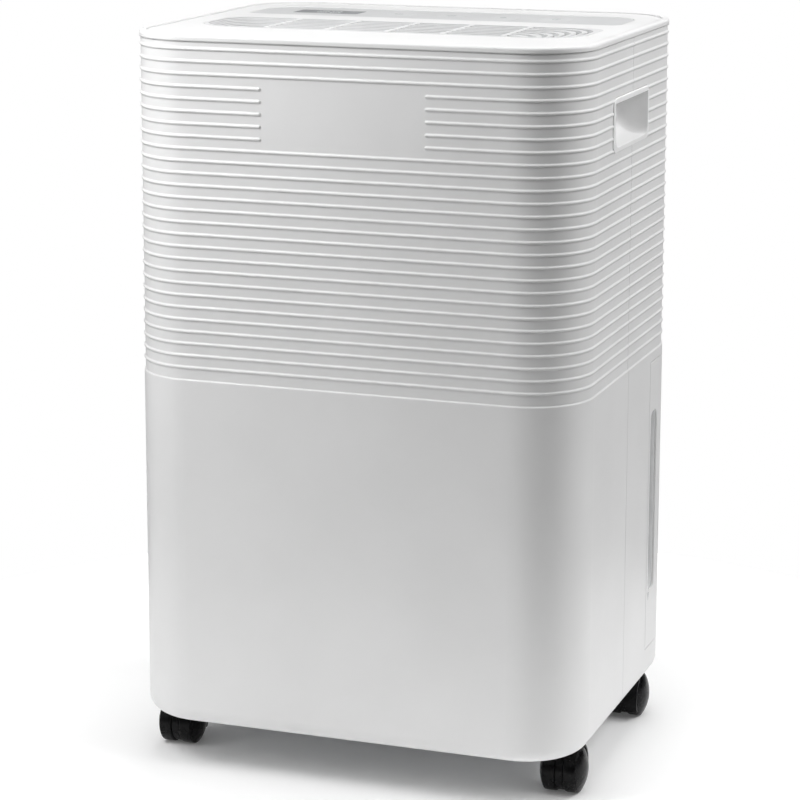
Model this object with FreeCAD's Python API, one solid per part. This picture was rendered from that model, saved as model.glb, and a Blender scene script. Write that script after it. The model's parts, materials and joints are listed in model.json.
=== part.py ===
"""Portable compressor dehumidifier on casters, one STEP file per piece.

Frame, in millimetres: the origin is on the floor under the middle of the
housing, +X is the user's right when facing the front, +Y is the rear and
+Z is up.
"""
import FreeCAD, Part
import math
import os

from FreeCAD import Vector

# Housing: overall size and wall
WIDTH = 386.0
DEPTH = 320.0
HEIGHT = 616.0
CORNER_RADIUS = 54.0
WALL = 3.2
SKIRT_Z = 39.0
SKIRT_RADIUS = 13.0
LIP_DEPTH = 30.0
SHELL_GAP = 0.15
PANEL_GAP = 0.3
HALF_W = WIDTH / 2
HALF_D = DEPTH / 2
CORNER_X = HALF_W - CORNER_RADIUS
CORNER_Y = HALF_D - CORNER_RADIUS

# Horizontal ribs round the upper housing
RIB_COUNT = 27
RIB_PITCH = 10.0
RIB_TOP_Z = 605.0
RIB_HALF_HEIGHT = 1.4
RIB_PROUD = 1.0
PANEL_TOP_Z = 335.0
BADGE_LEFT = -71.0
BADGE_RIGHT = 70.0
BADGE_RIBS = range(3, 8)

# Top cover, outlet grille and control strip
RIM_Z = 611.0
RIM_WIDTH = 6.0
TOP_DROP = 0.8
TOP_PLATE = 3.0
GRILLE_HALF_X = 166.0
GRILLE_FRONT_Y = -77.0
GRILLE_BACK_Y = 12.0
GRILLE_FRONT_RADIUS = 36.0
GRILLE_BACK_RADIUS = 14.0
SLOT_COUNT = 7
SLOT_PITCH = 12.0
SLOT_STEP_X = 6.0
BAR_XS = (-101.0, -48.0, 4.0, 52.0, 103.0)
BAR_WIDTH = 4.0
STRIP_HALF_X = 167.0
STRIP_FRONT_Y = 46.0
STRIP_BACK_Y = 122.0
STRIP_FRONT_RADIUS = 9.0
STRIP_BACK_RADIUS = 30.0
STRIP_TOP_Z = HEIGHT - TOP_DROP - 0.4
KEY_XS = {"key_power": -40.0, "key_mode": 8.0, "key_humidity": 55.0, "key_timer": 102.0}
KEY_Y = 84.0
KEY_HALF_X = 13.0
KEY_HALF_Y = 9.0
DISPLAY_X = -104.0

# Carrying handles, one cup in each side
HANDLE_FRONT_Y = -60.0
HANDLE_BACK_Y = 49.0
HANDLE_LOW_Z = 523.0
HANDLE_HIGH_Z = 567.0
HANDLE_DEPTH = 32.0
HANDLE_FRAME = 4.0
HANDLE_PROUD = 0.4

# Water tank bay and tank
TANK_EDGE_Y = 73.0
TANK_LOW_Z = 69.0
TANK_HIGH_Z = 325.0
TANK_GAP = 0.5
TANK_WALL = 2.2
BUCKET_HALF_X = 181.0
BUCKET_FRONT_Y = 62.0
BUCKET_TOP_Z = 268.0
WINDOW_LOW_Z = 120.0
WINDOW_HIGH_Z = 281.0
WINDOW_DEPTH_Y = 20.0
BAIL_PIVOT_Y = 108.0
BAIL_PIVOT_Z = 256.0
BAIL_LENGTH = 40.0
BAIL_RISE = 30.0
FLOAT_PIVOT = Vector(-120, 80, 236)

# Rear intake
INTAKE_HALF_X = 146.0
INTAKE_LOW_Z = 361.0
INTAKE_HIGH_Z = 589.0
DRAIN_X = 120.0
DRAIN_Z = 343.5
DRAIN_RADIUS = 6.0
DRAIN_WELL = 13.0
DRAIN_FLOOR_Y = 150.0
DRAIN_ROOT_RADIUS = 7.0
DRAIN_ROOT_END_Y = 151.0
KICK_HALF_X = 136.0
GLAND_X = -120.0
GLAND_Z = 60.5
GLAND_RADIUS = 6.5

# Casters
CASTER_X = 171.0
CASTER_Y = 88.0
CASTER_TRAIL = 11.0
WHEEL_RADIUS = 19.0
WHEEL_INNER = 3.5
WHEEL_TREAD = 14.5
WHEEL_DOME = 5.0
AXLE_RADIUS = 2.5
STEM_RADIUS = 4.0
RUNNING = 0.05

# Inner chassis and machinery
BAY_WALL_Y = 55.0
SHELF_Z = 328.0
SHEET = 2.5
TRAY_BACK_Y = 148.0
TRAY_WALL = 2.0
DRIP_Y = 108.0
FUNNEL_HALF = 22.0
SUCTION_X = 150.0
DISCHARGE_X = -152.0
COIL_HALF_X = 138.0
COIL_LOW_Z = 354.0
COIL_HIGH_Z = 575.0
COIL_DEPTH = 26.0
EVAPORATOR_Y = 131.0
CONDENSER_Y = 97.0
FAN_CENTRE = Vector(0, -32, 450)
FAN_RADIUS = 78.0
COMPRESSOR_X = -85.0
COMPRESSOR_Y = -62.0
COMPRESSOR_RADIUS = 56.0
COMPRESSOR_HEIGHT = 185.0
COMPRESSOR_Z = 66.0

X_AXIS = Vector(1, 0, 0)
Y_AXIS = Vector(0, 1, 0)
Z_AXIS = Vector(0, 0, 1)
ORIGIN = Vector(0, 0, 0)


# ---------------------------------------------------------------- helpers

def box(x0, x1, y0, y1, z0, z1):
    """A plain block between two corners."""
    return Part.makeBox(x1 - x0, y1 - y0, z1 - z0, Vector(x0, y0, z0))


def rod(radius, start, axis, length):
    """A solid cylinder."""
    return Part.makeCylinder(radius, length, start, axis)


def pipe(outer, inner, start, axis, length):
    """A straight tube, open at both ends."""
    return rod(outer, start, axis, length).cut(rod(inner, start, axis, length))


def fuse_all(shapes):
    """One solid out of touching or overlapping shapes."""
    return shapes[0].multiFuse(shapes[1:]).removeSplitter()


def mirror_x(shape):
    """The same piece on the other side of the machine."""
    return shape.mirror(ORIGIN, X_AXIS)


def soften(shape, picks, radius):
    """Round the edges that picks accepts, or leave them sharp where that fails."""
    edges = [edge for edge in shape.Edges if picks(edge)]
    try:
        rounded = shape.makeFillet(radius, edges)
    except Part.OCCError:
        return shape
    return rounded if rounded.isValid() and rounded.Volume > 0 else shape


def along(axis_index):
    """A test for straight edges along one axis."""
    def picks(edge):
        if len(edge.Vertexes) != 2 or edge.Curve.TypeId != "Part::GeomLine":
            return False
        run = edge.Vertexes[1].Point.sub(edge.Vertexes[0].Point)
        parts = [abs(run.x), abs(run.y), abs(run.z)]
        return parts[axis_index] > 0.999 * run.Length
    return picks


def at_level(low, high):
    """A test for edges that lie wholly between two heights."""
    def picks(edge):
        bounds = edge.BoundBox
        return bounds.ZMin > low and bounds.ZMax < high
    return picks


def outline(x0, x1, y0, y1, front_radius, back_radius, z):
    """Rounded rectangle at height z, with its own radius at the front and the back."""
    corners = (
        (Vector(x1, y0, z), front_radius, 270),
        (Vector(x1, y1, z), back_radius, 0),
        (Vector(x0, y1, z), back_radius, 90),
        (Vector(x0, y0, z), front_radius, 180),
    )
    edges = []
    previous = None
    first = None
    for corner, radius, start in corners:
        sign_x = 1 if corner.x == x1 else -1
        sign_y = 1 if corner.y == y1 else -1
        centre = corner - Vector(sign_x * radius, sign_y * radius, 0)
        arc = Part.makeCircle(radius, centre, Z_AXIS, start, start + 90)
        entry = arc.Vertexes[0].Point
        leave = arc.Vertexes[-1].Point
        if previous is not None and previous.sub(entry).Length > 1e-6:
            edges.append(Part.makeLine(previous, entry))
        edges.append(arc)
        previous = leave
        first = first or entry
    if previous.sub(first).Length > 1e-6:
        edges.append(Part.makeLine(previous, first))
    return Part.Face(Part.Wire(Part.__sortEdges__(edges)))


def slab(x0, x1, y0, y1, z0, z1, front_radius, back_radius=None):
    """Upright prism on a rounded rectangle."""
    back_radius = front_radius if back_radius is None else back_radius
    return outline(x0, x1, y0, y1, front_radius, back_radius, z0).extrude(Vector(0, 0, z1 - z0))


def housing_slab(inset, z0, z1):
    """Prism that follows the housing's plan, a little inside its outer face."""
    radius = CORNER_RADIUS - inset
    half_x = HALF_W - inset
    half_y = HALF_D - inset
    return slab(-half_x, half_x, -half_y, half_y, z0, z1, radius)


def side_slab(y0, y1, z0, z1, x0, x1, radius):
    """Prism along X on a rounded rectangle in the YZ plane."""
    flat = outline(y0, y1, z0, z1, radius, radius, 0)
    flat.rotate(ORIGIN, Vector(1, 1, 1), 120)
    flat.translate(Vector(x0, 0, 0))
    return flat.extrude(Vector(x1 - x0, 0, 0))


def rear_slab(x0, x1, z0, z1, y0, y1, radius):
    """Prism along Y on a rounded rectangle in the XZ plane."""
    flat = outline(x0, x1, -z1, -z0, radius, radius, 0)
    flat.rotate(ORIGIN, X_AXIS, -90)
    flat.translate(Vector(0, y0, 0))
    return flat.extrude(Vector(0, y1 - y0, 0))


def polygon_face(points):
    """A flat face through points given in order."""
    return Part.Face(Part.makePolygon(points + [points[0]]))


def bent_tube(points, radius, bend):
    """Round rod along straight runs joined by tangent arcs."""
    edges = []
    last = points[0]
    for before, corner, after in zip(points, points[1:], points[2:]):
        back = before.sub(corner).normalize()
        ahead = after.sub(corner).normalize()
        half = back.getAngle(ahead) / 2
        reach = bend / math.tan(half)
        entry = corner + back * reach
        leave = corner + ahead * reach
        middle_way = (back + ahead).normalize()
        middle = corner + middle_way * (bend / math.sin(half) - bend)
        edges.append(Part.makeLine(last, entry))
        edges.append(Part.Arc(entry, middle, leave).toShape())
        last = leave
    edges.append(Part.makeLine(last, points[-1]))
    heading = points[1].sub(points[0])
    disc = Part.Face(Part.Wire(Part.makeCircle(radius, points[0], heading)))
    return Part.Wire(edges).makePipe(disc)


# ---------------------------------------------------------------- housing

def rib_z(index):
    """Height of the middle of a rib, counted from the top."""
    return RIB_TOP_Z - RIB_PITCH * index


def wall_section():
    """Section of the housing wall: X is the distance outwards from the outer face."""
    def at(out, height):
        return Vector(out, 0, height)

    edges = []
    here = at(-RIB_PROUD, RIM_Z)
    for index in range(RIB_COUNT):
        middle = rib_z(index)
        top = at(-RIB_PROUD, middle + RIB_HALF_HEIGHT)
        bottom = at(-RIB_PROUD, middle - RIB_HALF_HEIGHT)
        edges.append(Part.makeLine(here, top))
        edges.append(Part.Arc(top, at(0, middle), bottom).toShape())
        here = bottom
    step = at(-RIB_PROUD, PANEL_TOP_Z)
    edges.append(Part.makeLine(here, step))
    diagonal = RIB_PROUD * math.sqrt(0.5)
    crest = at(diagonal - RIB_PROUD, PANEL_TOP_Z - RIB_PROUD + diagonal)
    panel = at(0, PANEL_TOP_Z - RIB_PROUD)
    edges.append(Part.Arc(step, crest, panel).toShape())

    bend_z = SKIRT_Z + SKIRT_RADIUS
    slope = SKIRT_RADIUS * math.sqrt(0.5)
    outer_bend = at(0, bend_z)
    outer_foot = at(-SKIRT_RADIUS, SKIRT_Z)
    edges.append(Part.makeLine(panel, outer_bend))
    edges.append(Part.Arc(outer_bend, at(slope - SKIRT_RADIUS, bend_z - slope), outer_foot).toShape())
    inner_radius = SKIRT_RADIUS - WALL
    inner_slope = inner_radius * math.sqrt(0.5)
    lip_out = at(-LIP_DEPTH, SKIRT_Z)
    lip_in = at(-LIP_DEPTH, SKIRT_Z + WALL)
    inner_foot = at(-SKIRT_RADIUS, SKIRT_Z + WALL)
    inner_bend = at(-WALL, bend_z)
    inner_mid = at(inner_slope - SKIRT_RADIUS, bend_z - inner_slope)
    inner_top = at(-WALL, RIM_Z)
    edges.append(Part.makeLine(outer_foot, lip_out))
    edges.append(Part.makeLine(lip_out, lip_in))
    edges.append(Part.makeLine(lip_in, inner_foot))
    edges.append(Part.Arc(inner_foot, inner_mid, inner_bend).toShape())
    edges.append(Part.makeLine(inner_bend, inner_top))
    edges.append(Part.makeLine(inner_top, at(-RIB_PROUD, RIM_Z)))
    return Part.Face(Part.Wire(edges))


def straight_run(section, start, heading, length):
    """Section swept in a straight line: heading 0 runs along +Y with +X outwards."""
    run = section.extrude(Vector(0, length, 0))
    run.rotate(ORIGIN, Z_AXIS, heading)
    run.translate(start)
    return run


def corner_run(section, centre_x, centre_y, heading):
    """Section swept a quarter turn about the upright axis of a corner."""
    flat = section.copy()
    flat.translate(Vector(CORNER_RADIUS, 0, 0))
    run = flat.revolve(ORIGIN, Z_AXIS, 90)
    run.rotate(ORIGIN, Z_AXIS, heading)
    run.translate(Vector(centre_x, centre_y, 0))
    return run


def front_half(section, start_y):
    """Section round the front of the housing, from start_y on each side."""
    length = CORNER_Y + start_y
    return fuse_all([
        straight_run(section, Vector(-HALF_W, start_y, 0), 180, length),
        corner_run(section, -CORNER_X, -CORNER_Y, 180),
        straight_run(section, Vector(-CORNER_X, -HALF_D, 0), 270, 2 * CORNER_X),
        corner_run(section, CORNER_X, -CORNER_Y, 270),
        straight_run(section, Vector(HALF_W, -CORNER_Y, 0), 0, length),
    ])


def rear_half(section, start_y):
    """Section round the rear of the housing, from start_y on each side."""
    length = CORNER_Y - start_y
    return fuse_all([
        straight_run(section, Vector(HALF_W, start_y, 0), 0, length),
        corner_run(section, CORNER_X, CORNER_Y, 0),
        straight_run(section, Vector(CORNER_X, HALF_D, 0), 90, 2 * CORNER_X),
        corner_run(section, -CORNER_X, CORNER_Y, 90),
        straight_run(section, Vector(-HALF_W, CORNER_Y, 0), 180, length),
    ])


def handle_openings():
    """Holes through both sides for the handle cups."""
    gap = 0.2
    right = side_slab(HANDLE_FRONT_Y - gap, HANDLE_BACK_Y + gap, HANDLE_LOW_Z - gap,
                      HANDLE_HIGH_Z + gap, HALF_W - 12, HALF_W + 5, 7.0 + gap)
    return [right, mirror_x(right)]


def caster_places():
    """Name, pivot and trail direction of each caster."""
    places = []
    for side, sign_x in (("left", -1), ("right", 1)):
        for end, sign_y in (("front", -1), ("rear", 1)):
            pivot = Vector(sign_x * CASTER_X, sign_y * CASTER_Y, 0)
            places.append((end + "_" + side, pivot, sign_y))
    return places


def caster_holes(radius):
    """Openings in the housing's bottom lip for the casters' collars."""
    return [rod(radius, pivot + Vector(0, 0, SKIRT_Z - 1), Z_AXIS, WALL + 2)
            for _, pivot, _ in caster_places()]


def badge_cutters():
    """Cutters that stop five ribs short of the blank badge field, with round rib ends."""
    cutters = []
    face_y = -HALF_D + RIB_PROUD
    for index in BADGE_RIBS:
        middle = rib_z(index)
        cutter = box(BADGE_LEFT, BADGE_RIGHT, face_y - 2 * RIB_PROUD, face_y, middle - 3, middle + 3)
        for end in (BADGE_LEFT, BADGE_RIGHT):
            cutter = cutter.cut(rod(RIB_HALF_HEIGHT, Vector(end, face_y - 5, middle), Y_AXIS, 10))
        cutters.append(cutter)
    return cutters


def front_shell():
    """Front half of the housing with its ribs and the blank badge field."""
    shell = front_half(wall_section(), -SHELL_GAP)
    shell = shell.cut(badge_cutters() + handle_openings() + caster_holes(9.5))
    posts = []
    for sign in (-1, 1):
        for height in (130.0, 260.0, 400.0, 480.0):
            middle = sign * (HALF_W - WALL - 5)
            post = box(middle - 5.5, middle + 5.5, -26, -SHELL_GAP, height - 5, height + 5)
            posts.append(post.cut(rod(1.6, Vector(middle, -24, height), Y_AXIS, 30)))
    return fuse_all([shell] + posts)


def rear_shell():
    """Rear half of the housing, open for the tank, the kick panel and the air intake."""
    shell = rear_half(wall_section(), SHELL_GAP)
    kick_x = KICK_HALF_X + PANEL_GAP
    kick = box(-kick_x, kick_x, TANK_EDGE_Y, HALF_D + 5, SKIRT_Z - 1, TANK_LOW_Z)
    tank = box(-HALF_W - 5, HALF_W + 5, TANK_EDGE_Y, HALF_D + 5,
               TANK_LOW_Z - TANK_GAP, TANK_HIGH_Z + TANK_GAP)
    intake = rear_slab(-INTAKE_HALF_X, INTAKE_HALF_X, INTAKE_LOW_Z, INTAKE_HIGH_Z,
                       HALF_D - 12, HALF_D + 5, 12.0)
    drain = rod(DRAIN_WELL, Vector(DRAIN_X, HALF_D - 9, DRAIN_Z), Y_AXIS, 20)
    shell = shell.cut([tank, kick, intake, drain] + handle_openings() + caster_holes(9.5))
    well = pipe(DRAIN_WELL + 2, DRAIN_WELL, Vector(DRAIN_X, DRAIN_FLOOR_Y, DRAIN_Z), Y_AXIS,
                HALF_D - RIB_PROUD - DRAIN_FLOOR_Y)
    well_end = Vector(DRAIN_X, DRAIN_FLOOR_Y - 1.5, DRAIN_Z)
    floor = pipe(DRAIN_WELL + 2, DRAIN_ROOT_RADIUS, well_end, Y_AXIS, 1.5)
    posts = []
    for sign in (-1, 1):
        for height in (130.0, 260.0, 400.0, 480.0):
            middle = sign * (HALF_W - WALL - 5)
            post = box(middle - 5.5, middle + 5.5, SHELL_GAP, 20, height - 5, height + 5)
            posts.append(post.cut(rod(2.2, Vector(middle, -1, height), Y_AXIS, 30)))
    return fuse_all([shell, well, floor] + posts)


def kick_panel():
    """Low rear panel under the tank: it carries the mains gland and clips to the rear shell."""
    run = straight_run(wall_section(), Vector(KICK_HALF_X, HALF_D, 0), 90, 2 * KICK_HALF_X)
    panel = run.common(box(-HALF_W, HALF_W, 0, HALF_D + 5, 0, TANK_LOW_Z - TANK_GAP))
    gland = rod(GLAND_RADIUS, Vector(GLAND_X, HALF_D - 12, GLAND_Z), Y_AXIS, 20)
    clips = []
    for sign in (-1, 1):
        middle = sign * KICK_HALF_X
        arm = box(middle - 7, middle + 7, HALF_D - 6.2, HALF_D - 3.8, 54, 62)
        root_x = middle - sign * 5
        root = box(root_x - 2, root_x + 2, HALF_D - 6.2, HALF_D - 2, 54, 62)
        clips += [arm, root]
    return fuse_all([panel] + clips).cut(gland)


def top_cover():
    """Lid of the housing: raised rim, openings for the grille and the control strip."""
    rim = housing_slab(0, RIM_Z, HEIGHT)
    rim = soften(rim, at_level(HEIGHT - 0.01, HEIGHT + 0.01), 2.2)
    top_z = HEIGHT - TOP_DROP
    well = housing_slab(RIM_WIDTH, top_z, HEIGHT + 1)
    under = housing_slab(WALL + 0.4, RIM_Z - 1, top_z - TOP_PLATE)
    cover = rim.cut([well, under])
    skirt = housing_slab(WALL + 0.3, RIM_Z - 9, RIM_Z + 1)
    skirt = skirt.cut(housing_slab(WALL + 2.3, RIM_Z - 10, RIM_Z + 2))
    cover = fuse_all([cover, skirt])
    grille = slab(-GRILLE_HALF_X, GRILLE_HALF_X, GRILLE_FRONT_Y, GRILLE_BACK_Y,
                  RIM_Z - 1, HEIGHT + 1, GRILLE_FRONT_RADIUS, GRILLE_BACK_RADIUS)
    strip = slab(-STRIP_HALF_X, STRIP_HALF_X, STRIP_FRONT_Y, STRIP_BACK_Y,
                 RIM_Z - 1, HEIGHT + 1, STRIP_FRONT_RADIUS, STRIP_BACK_RADIUS)
    return cover.cut([grille, strip])


def slot_region(half_x, back_y, radius):
    """Region whose back edge and ends one outlet slot follows."""
    return slab(-half_x, half_x, GRILLE_FRONT_Y - 150, back_y, RIM_Z - 10, HEIGHT + 5, 1.0, radius)


def outlet_grille():
    """Louvre of long slots that curl forwards at both ends, with cross bars under them."""
    gap = 0.15
    low = HEIGHT - TOP_DROP - TOP_PLATE
    top = HEIGHT - TOP_DROP + 0.2
    plate = slab(-GRILLE_HALF_X + gap, GRILLE_HALF_X - gap, GRILLE_FRONT_Y + gap,
                 GRILLE_BACK_Y - gap, low, top, GRILLE_FRONT_RADIUS - gap, GRILLE_BACK_RADIUS - gap)
    field = slab(-GRILLE_HALF_X + 4, GRILLE_HALF_X - 4, GRILLE_FRONT_Y + 4, GRILLE_BACK_Y - 4,
                 low - 2, top + 2, GRILLE_FRONT_RADIUS - 4, GRILLE_BACK_RADIUS - 4)
    cutters = []
    for index in range(SLOT_COUNT):
        half_x = GRILLE_HALF_X - 4 - SLOT_STEP_X * index
        back_y = GRILLE_BACK_Y - 4 - SLOT_PITCH * index
        outer = slot_region(half_x, back_y, 26.0)
        inner = slot_region(half_x - 3.6, back_y - 7.0, 24.0)
        cutters.append(outer.cut(inner).common(field))
    bars = [box(x - BAR_WIDTH / 2, x + BAR_WIDTH / 2, GRILLE_FRONT_Y + 4, GRILLE_BACK_Y - 4, low, top - 0.6)
            for x in BAR_XS]
    louvre = plate.cut(cutters)
    return fuse_all([louvre] + bars)


def key_outline(x, margin, z0, z1):
    """Prism of a key's plan, grown by a margin."""
    return slab(x - KEY_HALF_X - margin, x + KEY_HALF_X + margin, KEY_Y - KEY_HALF_Y - margin,
                KEY_Y + KEY_HALF_Y + margin, z0, z1, 3.0 + margin)


def display_outline(margin, z0, z1):
    """Prism of the display window's plan."""
    return slab(DISPLAY_X - 30 - margin, DISPLAY_X + 30 + margin, KEY_Y - 14 - margin,
                KEY_Y + 14 + margin, z0, z1, 3.0 + margin)


def control_fascia():
    """Glossy strip that carries the display window and the four keys."""
    gap = 0.15
    strip = slab(-STRIP_HALF_X + gap, STRIP_HALF_X - gap, STRIP_FRONT_Y + gap,
                 STRIP_BACK_Y - gap, STRIP_TOP_Z - 2.4, STRIP_TOP_Z,
                 STRIP_FRONT_RADIUS - gap, STRIP_BACK_RADIUS - gap)
    holes = [key_outline(x, 0.25, RIM_Z - 2, HEIGHT) for x in KEY_XS.values()]
    holes.append(display_outline(0, RIM_Z - 2, HEIGHT))
    tray = slab(-STRIP_HALF_X + 8, STRIP_HALF_X - 8, STRIP_FRONT_Y + 4, STRIP_BACK_Y - 8,
                STRIP_TOP_Z - 10, STRIP_TOP_Z - 2.4, 6.0, 20.0)
    hollow = slab(-STRIP_HALF_X + 10, STRIP_HALF_X - 10, STRIP_FRONT_Y + 6, STRIP_BACK_Y - 10,
                  STRIP_TOP_Z - 11, STRIP_TOP_Z - 2.4, 4.0, 18.0)
    return fuse_all([strip.cut(holes), tray.cut(hollow)])


def display_window():
    """Tinted window over the humidity display."""
    return display_outline(-0.05, STRIP_TOP_Z - 2.0, STRIP_TOP_Z - 0.05)


def key(x):
    """Flush push key with a stem down to its switch."""
    cap = key_outline(x, 0, STRIP_TOP_Z - 3.0, STRIP_TOP_Z + 0.1)
    cap = soften(cap, at_level(STRIP_TOP_Z, STRIP_TOP_Z + 0.2), 0.4)
    stem = rod(2.0, Vector(x, KEY_Y, STRIP_TOP_Z - 6.4), Z_AXIS, 3.6)
    return fuse_all([cap, stem])


def control_board():
    """Circuit board under the strip, with a push switch under each key."""
    z = STRIP_TOP_Z - 11.6
    board = slab(-150, 150, 54, 112, z, z + 1.6, 3.0)
    switches = [box(x - 3, x + 3, KEY_Y - 3, KEY_Y + 3, z + 1.6, z + 3.8) for x in KEY_XS.values()]
    module = box(DISPLAY_X - 26, DISPLAY_X + 26, KEY_Y - 11, KEY_Y + 11, z + 1.6, STRIP_TOP_Z - 2.4)
    return fuse_all([board, module] + switches)


def cup_cavity_section(grow):
    """Section of a handle cup: deep under the top lip, floor sloping out to the opening."""
    mouth_x = HALF_W + HANDLE_PROUD + 1
    back_x = HALF_W - HANDLE_DEPTH - grow
    low = HANDLE_LOW_Z + HANDLE_FRAME - grow
    lip = HANDLE_HIGH_Z - HANDLE_FRAME
    roof = lip + 7.0 + grow
    lip_x = HALF_W - 5.0
    floor_radius = HANDLE_DEPTH - 4.0
    floor_centre = Vector(HALF_W - 4.0, 0, low + floor_radius)
    slope = floor_radius * math.sqrt(0.5)
    floor_start = Vector(HALF_W - 4.0, 0, low)
    floor_mid = floor_centre + Vector(-slope, 0, -slope)
    floor_end = Vector(back_x + grow, 0, low + floor_radius)
    if grow:
        floor_start = Vector(HALF_W - 4.0, 0, low)
        reach = floor_radius + grow
        floor_centre = Vector(HALF_W - 4.0, 0, low + reach)
        floor_mid = floor_centre + Vector(-reach * math.sqrt(0.5), 0, -reach * math.sqrt(0.5))
        floor_end = Vector(HALF_W - 4.0 - reach, 0, low + reach)
    roof_corner = Vector(back_x, 0, roof)
    edges = [
        Part.makeLine(Vector(mouth_x, 0, low), floor_start),
        Part.Arc(floor_start, floor_mid, floor_end).toShape(),
        Part.makeLine(floor_end, roof_corner),
        Part.makeLine(roof_corner, Vector(lip_x, 0, roof)),
        Part.makeLine(Vector(lip_x, 0, roof), Vector(lip_x, 0, lip + grow)),
        Part.makeLine(Vector(lip_x, 0, lip + grow), Vector(mouth_x, 0, lip + grow)),
        Part.makeLine(Vector(mouth_x, 0, lip + grow), Vector(mouth_x, 0, low)),
    ]
    return Part.Face(Part.Wire(edges))


def handle_right():
    """Handle cup with its bezel, for the +X side."""
    bezel = side_slab(HANDLE_FRONT_Y, HANDLE_BACK_Y, HANDLE_LOW_Z, HANDLE_HIGH_Z,
                      HALF_W - WALL - 1.5, HALF_W + HANDLE_PROUD, 7.0)
    bezel = soften(bezel, lambda edge: edge.BoundBox.XMin > HALF_W, 0.9)
    skin = 2.2
    inner_front = HANDLE_FRONT_Y + HANDLE_FRAME
    inner_back = HANDLE_BACK_Y - HANDLE_FRAME
    body = cup_cavity_section(skin).extrude(Vector(0, inner_back - inner_front + 2 * skin, 0))
    body.translate(Vector(0, inner_front - skin, 0))
    limit = box(0, HALF_W - WALL, -HALF_D, HALF_D, 0, HEIGHT)
    cavity = cup_cavity_section(0).extrude(Vector(0, inner_back - inner_front, 0))
    cavity.translate(Vector(0, inner_front, 0))
    cavity = soften(cavity, lambda edge: along(2)(edge) and edge.BoundBox.XMax < HALF_W - 20, 8.0)
    return fuse_all([bezel, body.common(limit)]).cut(cavity)


# ---------------------------------------------------------------- rear intake

def intake_grille():
    """Rear grille whose slots line up with the housing's ribs, with finger tabs."""
    gap = 0.4
    x = INTAKE_HALF_X - gap
    low = INTAKE_LOW_Z + gap
    high = INTAKE_HIGH_Z - gap
    plate = rear_slab(-x, x, low, high, HALF_D - 3.0, HALF_D, 12.0 - gap)
    frame = rear_slab(-x, x, low, high, HALF_D - 10, HALF_D - 3.0, 12.0 - gap)
    frame = frame.cut(rear_slab(-x + 2, x - 2, low + 2, high - 2, HALF_D - 11, HALF_D - 2, 10.0))
    slots = []
    bays = 4
    bay = 2 * (x - 8) / bays
    for row in range(2, 24):
        middle = rib_z(row) - RIB_PITCH / 2
        for column in range(bays):
            left = -x + 8 + column * bay
            slots.append(rear_slab(left + 2, left + bay - 2, middle - 3.1, middle + 3.1,
                                   HALF_D - 4, HALF_D + 1, 3.0))
    return fuse_all([plate.cut(slots), frame])


def air_filter():
    """Washable filter: a frame with a fine mesh pad behind the grille."""
    x = INTAKE_HALF_X - 3
    low = INTAKE_LOW_Z + 3
    high = INTAKE_HIGH_Z - 3
    frame = rear_slab(-x, x, low, high, HALF_D - 9.6, HALF_D - 3.4, 8.0)
    holes = []
    columns, rows = 4, 3
    width = (2 * x - 6) / columns
    height = (high - low - 6) / rows
    for column in range(columns):
        for row in range(rows):
            left = -x + 3 + column * width
            base = low + 3 + row * height
            holes.append(rear_slab(left + 2, left + width - 2, base + 2, base + height - 2,
                                   HALF_D - 10, HALF_D - 5.4, 3.0))
    return frame.cut(holes)


# ---------------------------------------------------------------- tank

def cover_section():
    """Section of the tank cover: an upright wall with short flanges."""
    wall = 2.6
    points = [Vector(0, 0, TANK_LOW_Z), Vector(0, 0, TANK_HIGH_Z), Vector(-8, 0, TANK_HIGH_Z),
              Vector(-8, 0, TANK_HIGH_Z - wall), Vector(-wall, 0, TANK_HIGH_Z - wall),
              Vector(-wall, 0, TANK_LOW_Z)]
    return polygon_face(points)


def window_cutter(margin, x0, x1):
    """Upright slot for a level window at the cover's front edge."""
    y0 = TANK_EDGE_Y + TANK_GAP + 5
    return side_slab(y0 + margin, y0 + WINDOW_DEPTH_Y - margin, WINDOW_LOW_Z + margin,
                     WINDOW_HIGH_Z - margin, x0, x1, 7.0 - margin)


def tank_cover():
    """Outer face of the tank, wrapping the rear corners, with a finger pull."""
    cover = rear_half(cover_section(), TANK_EDGE_Y + TANK_GAP)
    windows = [window_cutter(0, HALF_W - 10, HALF_W + 5)]
    windows.append(mirror_x(windows[0]))
    pull = rear_slab(-62, 62, TANK_HIGH_Z - 40, TANK_HIGH_Z - 9, HALF_D - 20, HALF_D + 2, 12.0)
    shell = rear_slab(-64.4, 64.4, TANK_HIGH_Z - 42.4, TANK_HIGH_Z - 6.6,
                      HALF_D - 22.4, HALF_D - 1, 14.0)
    return fuse_all([cover, shell]).cut([pull] + windows)


def level_windows():
    """Smoky window in each side of the tank cover that shows the water level."""
    right = window_cutter(0.05, HALF_W - 3.4, HALF_W - 1.6)
    return Part.makeCompound([right, mirror_x(right)])


def bucket_slab(inset, z0, z1):
    """Prism of the bucket's plan."""
    half_x = BUCKET_HALF_X - inset
    return slab(-half_x, half_x, BUCKET_FRONT_Y + inset, HALF_D - 4 - inset, z0, z1,
                10.0 - inset, 44.0 - inset)


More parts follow.
